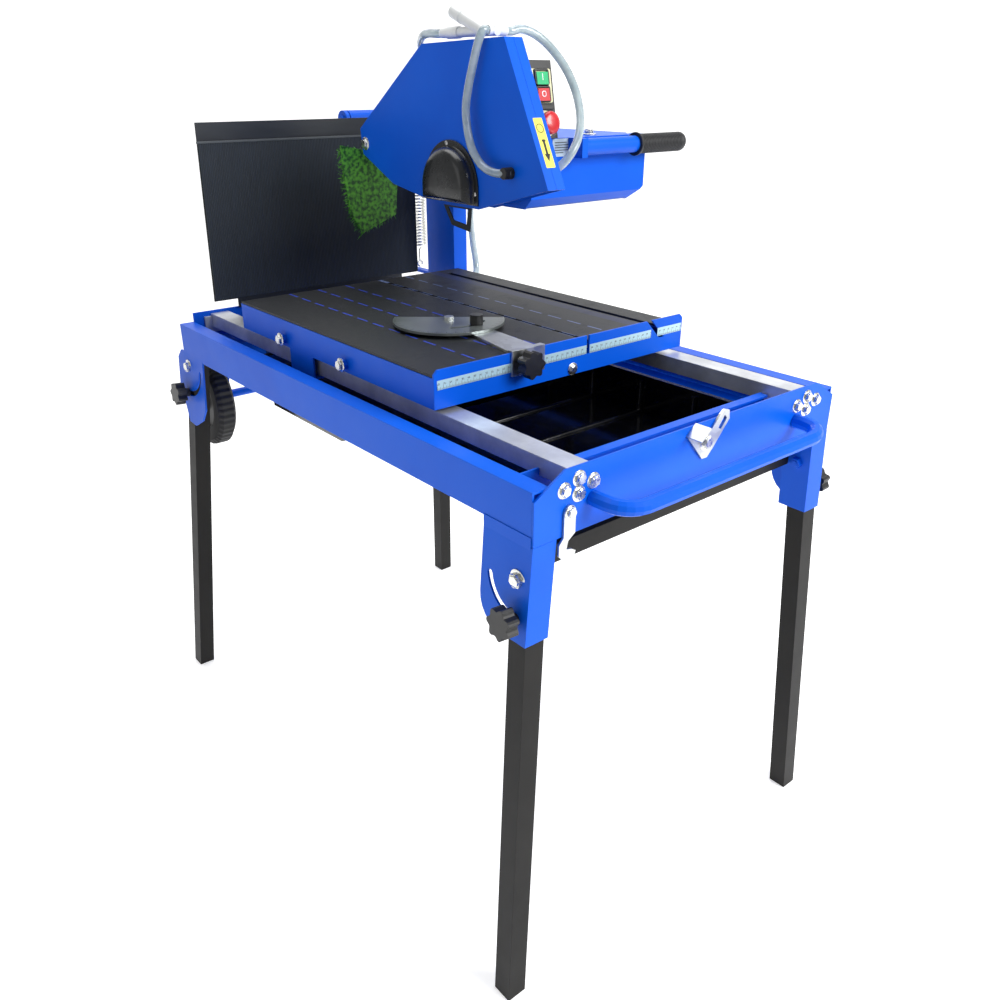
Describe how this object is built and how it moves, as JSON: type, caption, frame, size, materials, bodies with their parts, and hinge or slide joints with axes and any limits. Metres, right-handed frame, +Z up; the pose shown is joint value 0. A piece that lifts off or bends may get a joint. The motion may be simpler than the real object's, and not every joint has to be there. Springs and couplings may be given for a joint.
{
  "type": "stone table saw",
  "caption": "Wet table saw for stone and tile: folding legs, rear wheels, sliding table on rails, water tray, splash board, and a tilting, plunging head with guard, motor and water hoses",
  "frame": {"origin": "on the floor, under the middle of the frame", "axes": "+Z up, -Y towards the operator, +X to the operator's right"},
  "size_m": [0.7086, 1.1711, 1.2659],
  "materials": {
    "blue": "gloss blue paint",
    "black": "satin black paint",
    "rail": "zinc-plated steel",
    "zinc": "galvanised sheet",
    "steel": "turned steel",
    "plastic": "moulded black plastic",
    "tray": "glossy black",
    "panel": "dark blue-black plastic",
    "rubber": "matt black rubber",
    "tyre": "black tread",
    "motor": "dark grey paint",
    "hose": "clear soft hose",
    "white": "white plastic",
    "red": "red plastic",
    "green": "green plastic",
    "turf": "green artificial turf"
  },
  "bodies": {
    "frame": {"left_beam": "blue", "right_beam": "blue", "front_plate": "blue", "rear_plate": "blue", "front_tie": "black", "rear_tie": "black", "cross_member": "blue", "right_rail": "rail", "left_rail": "rail", "push_handle": "blue", "water_tray": "tray", "post": "blue", "splash_panel": "panel", "splash_rubber": "rubber", "supply_hose": "hose"},
    "front_left_leg_body": {"front_left_leg": "black"},
    "front_left_knob_body": {"front_left_knob": "plastic"},
    "front_right_leg_body": {"front_right_leg": "black"},
    "front_right_knob_body": {"front_right_knob": "plastic"},
    "rear_left_leg_body": {"rear_left_leg": "black"},
    "rear_left_knob_body": {"rear_left_knob": "plastic"},
    "rear_right_leg_body": {"rear_right_leg": "black"},
    "rear_right_knob_body": {"rear_right_knob": "plastic"},
    "left_wheel_body": {"left_wheel": "tyre"},
    "right_wheel_body": {"right_wheel": "tyre"},
    "table": {"table_frame": "blue", "table_mat": "rubber"},
    "front_left_roller_body": {"front_left_roller": "plastic"},
    "rear_left_roller_body": {"rear_left_roller": "plastic"},
    "front_right_roller_body": {"front_right_roller": "plastic"},
    "rear_right_roller_body": {"rear_right_roller": "plastic"},
    "mitre_guide": {"mitre_bracket": "zinc"},
    "protractor_body": {"protractor": "zinc"},
    "guide_knob_body": {"guide_knob": "plastic"},
    "clamp_knob_body": {"clamp_knob": "plastic"},
    "lock_bracket_body": {"lock_bracket": "zinc"},
    "hook_latch_body": {"hook_latch": "zinc"},
    "tilt_body": {"tilt_yoke": "blue"},
    "tilt_lever_body": {"tilt_lever": "plastic"},
    "head": {"head_arm": "blue", "belt_cover": "blue", "guard_inner": "blue", "guard_cover": "blue", "hub_cover": "plastic", "motor": "motor", "handle_grip": "rubber", "switch_box": "plastic", "water_tee": "white", "hose_left": "hose", "hose_right": "hose", "turf_flap": "turf", "drive_belt": "rubber", "head_spring": "zinc"},
    "spindle_body": {"spindle": "steel"},
    "motor_pulley_body": {"motor_pulley": "steel"},
    "valve_handle_body": {"valve_handle": "white"},
    "start_button_body": {"start_button": "green"},
    "stop_button_body": {"stop_button": "red"},
    "estop_button_body": {"estop_button": "red"}
  },
  "joints": [
    {"name": "front_left_fold", "type": "hinge", "parent": "frame", "child": "front_left_leg_body", "pos_m": [-0.29876, -0.4934, 0.642], "axis": [0.9973, 0, -0.0732], "range_deg": [0, 77]},
    {"name": "front_left_lock", "type": "hinge", "parent": "front_left_leg_body", "child": "front_left_knob_body", "pos_m": [-0.30243, -0.49545, 0.59204], "axis": [0.9973, 0, -0.0732], "range_deg": [0, 360]},
    {"name": "front_right_fold", "type": "hinge", "parent": "frame", "child": "front_right_leg_body", "pos_m": [0.29876, -0.4934, 0.642], "axis": [0.9973, 0, 0.0732], "range_deg": [0, 77]},
    {"name": "front_right_lock", "type": "hinge", "parent": "front_right_leg_body", "child": "front_right_knob_body", "pos_m": [0.30243, -0.49545, 0.59204], "axis": [0.9973, 0, 0.0732], "range_deg": [0, 360]},
    {"name": "rear_left_fold", "type": "hinge", "parent": "frame", "child": "rear_left_leg_body", "pos_m": [-0.29597, 0.441, 0.68], "axis": [0.9973, 0, -0.0732], "range_deg": [-90, 0]},
    {"name": "rear_left_lock", "type": "hinge", "parent": "rear_left_leg_body", "child": "rear_left_knob_body", "pos_m": [-0.29962, 0.44679, 0.63034], "axis": [0.9973, 0, -0.0732], "range_deg": [0, 360]},
    {"name": "rear_right_fold", "type": "hinge", "parent": "frame", "child": "rear_right_leg_body", "pos_m": [0.29597, 0.441, 0.68], "axis": [0.9973, 0, 0.0732], "range_deg": [-90, 0]},
    {"name": "rear_right_lock", "type": "hinge", "parent": "rear_right_leg_body", "child": "rear_right_knob_body", "pos_m": [0.29962, 0.44679, 0.63034], "axis": [0.9973, 0, 0.0732], "range_deg": [0, 360]},
    {"name": "left_wheel_spin", "type": "hinge", "parent": "frame", "child": "left_wheel_body", "pos_m": [-0.241, 0.505, 0.59], "axis": [1, 0, 0], "continuous": true},
    {"name": "right_wheel_spin", "type": "hinge", "parent": "frame", "child": "right_wheel_body", "pos_m": [0.241, 0.505, 0.59], "axis": [1, 0, 0], "continuous": true},
    {"name": "table_slide", "type": "slide", "parent": "frame", "child": "table", "axis": [0, 1, 0], "range_m": [-0.24, 0.145]},
    {"name": "front_left_roller_spin", "type": "hinge", "parent": "table", "child": "front_left_roller_body", "pos_m": [-0.218, -0.045, 0.7863], "axis": [1, 0, 0], "range_deg": [-470, 772]},
    {"name": "rear_left_roller_spin", "type": "hinge", "parent": "table", "child": "rear_left_roller_body", "pos_m": [-0.218, 0.141, 0.7863], "axis": [1, 0, 0], "range_deg": [-470, 772]},
    {"name": "front_right_roller_spin", "type": "hinge", "parent": "table", "child": "front_right_roller_body", "pos_m": [0.218, -0.045, 0.7863], "axis": [1, 0, 0], "range_deg": [-470, 772]},
    {"name": "rear_right_roller_spin", "type": "hinge", "parent": "table", "child": "rear_right_roller_body", "pos_m": [0.218, 0.141, 0.7863], "axis": [1, 0, 0], "range_deg": [-470, 772]},
    {"name": "guide_slide", "type": "slide", "parent": "table", "child": "mitre_guide", "axis": [1, 0, 0], "range_m": [-0.1, 0.07]},
    {"name": "protractor_turn", "type": "hinge", "parent": "mitre_guide", "child": "protractor_body", "pos_m": [-0.069, -0.064, 0.827], "axis": [0, 0, 1], "range_deg": [-25, 45]},
    {"name": "guide_knob_turn", "type": "hinge", "parent": "mitre_guide", "child": "guide_knob_body", "pos_m": [-0.056, -0.116, 0.83], "axis": [0, 0, 1], "range_deg": [0, 360]},
    {"name": "clamp_knob_turn", "type": "hinge", "parent": "mitre_guide", "child": "clamp_knob_body", "pos_m": [-0.095, -0.27, 0.812], "axis": [0, 1, 0], "range_deg": [0, 360]},
    {"name": "lock_bracket_turn", "type": "hinge", "parent": "frame", "child": "lock_bracket_body", "pos_m": [-0.004, -0.515, 0.747], "axis": [0, 1, 0], "range_deg": [-30, 60]},
    {"name": "hook_latch_turn", "type": "hinge", "parent": "frame", "child": "hook_latch_body", "pos_m": [-0.2415, -0.515, 0.72], "axis": [0, 1, 0], "range_deg": [0, 90]},
    {"name": "head_tilt", "type": "hinge", "parent": "frame", "child": "tilt_body", "pos_m": [0.2705, 0.347, 1.052], "axis": [0, -1, 0], "range_deg": [0, 25], "deforming": ["head_spring", "supply_hose", "turf_flap"]},
    {"name": "tilt_lever_turn", "type": "hinge", "parent": "tilt_body", "child": "tilt_lever_body", "pos_m": [0.2705, 0.337, 1.052], "axis": [0, 1, 0], "range_deg": [0, 40]},
    {"name": "head_raise", "type": "hinge", "parent": "tilt_body", "child": "head", "pos_m": [0.2705, 0.47, 1.092], "axis": [1, 0, 0], "range_deg": [-18, 3], "deforming": ["head_spring", "supply_hose", "turf_flap"]},
    {"name": "spindle_spin", "type": "hinge", "parent": "head", "child": "spindle_body", "pos_m": [0.034, 0.036, 1.01], "axis": [1, 0, 0], "continuous": true},
    {"name": "motor_spin", "type": "hinge", "parent": "head", "child": "motor_pulley_body", "pos_m": [0.276, 0.19, 1.052], "axis": [1, 0, 0], "continuous": true},
    {"name": "valve_turn", "type": "hinge", "parent": "head", "child": "valve_handle_body", "pos_m": [0.034, -0.026, 1.228], "axis": [0, 0.9272, 0.3746], "range_deg": [0, 270]},
    {"name": "start_press", "type": "slide", "parent": "head", "child": "start_button_body", "axis": [0, 0.9816, -0.1908], "range_m": [0, 0.004], "stiffness_N_per_m": 400},
    {"name": "stop_press", "type": "slide", "parent": "head", "child": "stop_button_body", "axis": [0, 0.9816, -0.1908], "range_m": [0, 0.004], "stiffness_N_per_m": 400},
    {"name": "estop_press", "type": "slide", "parent": "head", "child": "estop_button_body", "axis": [0, 0.9816, -0.1908], "range_m": [0, 0.005], "stiffness_N_per_m": 600}
  ],
  "couplings": [
    {"joint": "front_left_roller_spin", "follows": "table_slide", "rad_per_m": -55.556},
    {"joint": "rear_left_roller_spin", "follows": "table_slide", "rad_per_m": -55.556},
    {"joint": "front_right_roller_spin", "follows": "table_slide", "rad_per_m": -55.556},
    {"joint": "rear_right_roller_spin", "follows": "table_slide", "rad_per_m": -55.556},
    {"joint": "motor_spin", "follows": "spindle_spin", "ratio": 0.8}
  ]
}
